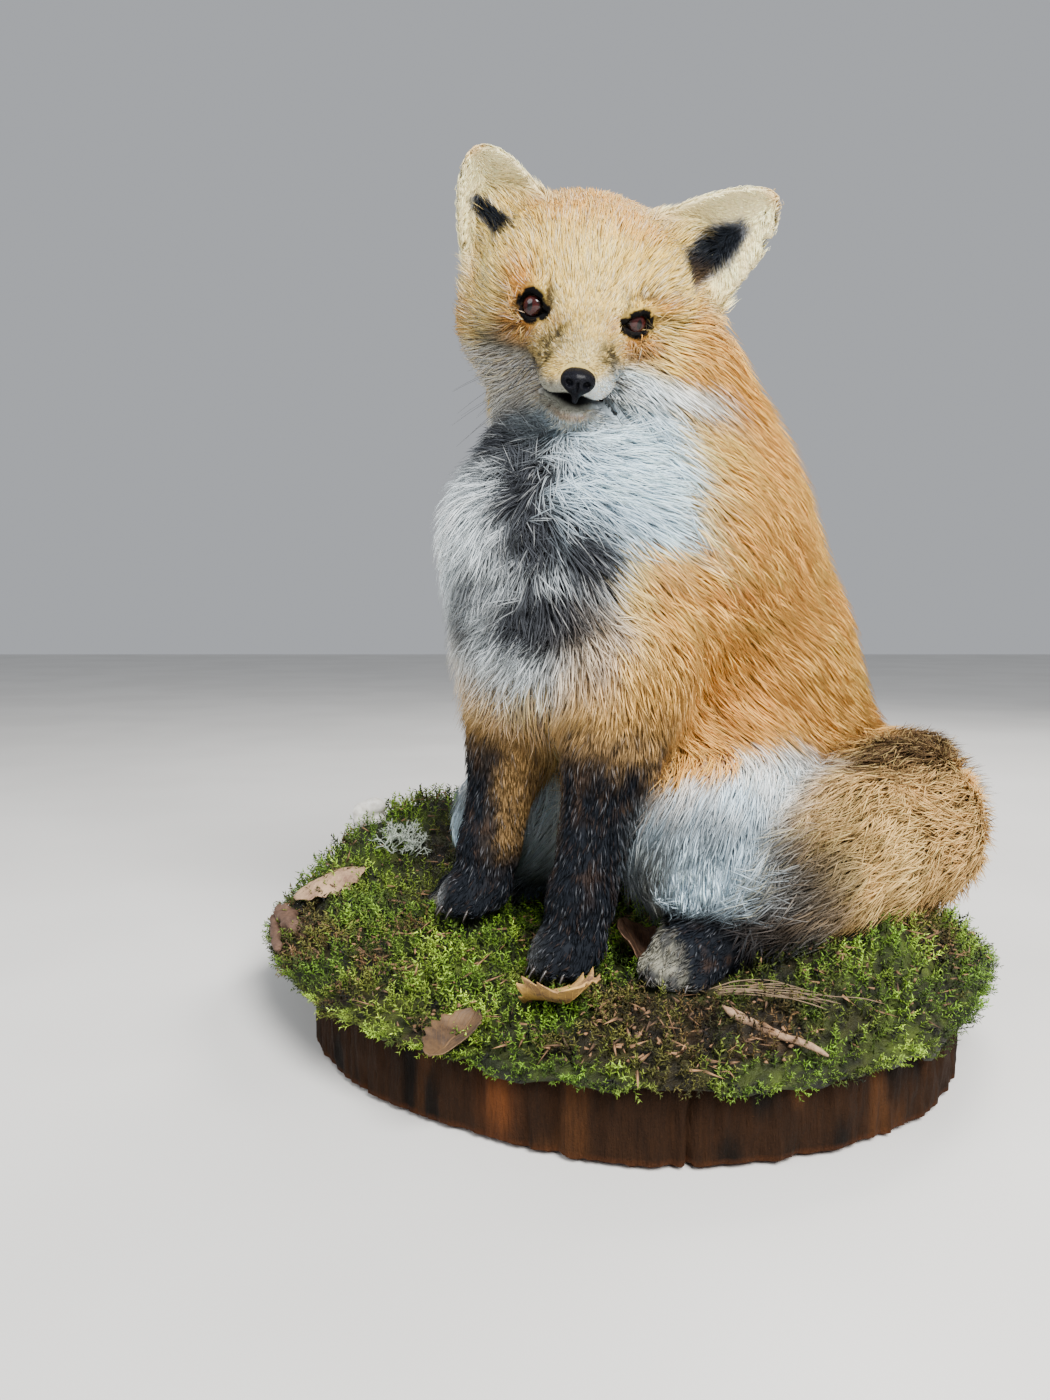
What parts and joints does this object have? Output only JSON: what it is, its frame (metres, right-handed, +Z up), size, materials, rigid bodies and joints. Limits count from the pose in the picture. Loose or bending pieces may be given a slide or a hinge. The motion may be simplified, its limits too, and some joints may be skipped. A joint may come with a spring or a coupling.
{
  "type": "taxidermy red fox on log slice",
  "caption": "Life-size mounted red fox sitting upright, head turned forward and tail curled to one side, fixed on a round log slice covered with moss and leaf litter.",
  "frame": {"origin": "centre of the log slice's flat underside", "axes": "+Z up, the fox's face looks towards -Y, its left side and its tail are towards +X"},
  "size_m": [0.481, 0.4168, 0.5175],
  "materials": {
    "head_coat": "short straw-coloured fur",
    "body_coat": "long orange and white fur",
    "leg_coat": "short black fur with grey and tan",
    "tail_coat": "long khaki and black-tipped fur",
    "glass_eye": "polished glass",
    "nose_skin": "pebbled, satin",
    "log_slice": "dark weathered bark and sawn wood",
    "moss": "living-green feather moss, dried",
    "dead_leaf": "dry and curled",
    "bark": "rough",
    "lichen": "pale and brittle",
    "shelf_fungus": "chalky"
  },
  "bodies": {
    "root": {"head": "head_coat", "muzzle": "head_coat", "lower_jaw": "head_coat", "ear_left": "head_coat", "ear_right": "head_coat", "eye_left": "glass_eye", "eye_right": "glass_eye", "nose": "nose_skin", "neck": "body_coat", "chest": "body_coat", "back": "body_coat", "rump": "body_coat", "thigh_left": "body_coat", "thigh_right": "body_coat", "foreleg_left": "leg_coat", "foreleg_right": "leg_coat", "forepaw_left": "leg_coat", "forepaw_right": "leg_coat", "hind_foot_left": "leg_coat", "hind_foot_right": "leg_coat", "tail_root": "tail_coat", "tail_middle": "tail_coat", "tail_tip": "tail_coat", "base_slab": "log_slice", "moss": "moss", "leaf_front": "dead_leaf", "leaf_left": "dead_leaf", "leaf_rim": "dead_leaf", "leaf_curled": "dead_leaf", "twig": "bark", "root": "dead_leaf", "bark_chip": "bark", "bark_clump": "bark", "lichen": "lichen", "stone": "shelf_fungus"}
  },
  "joints": []
}
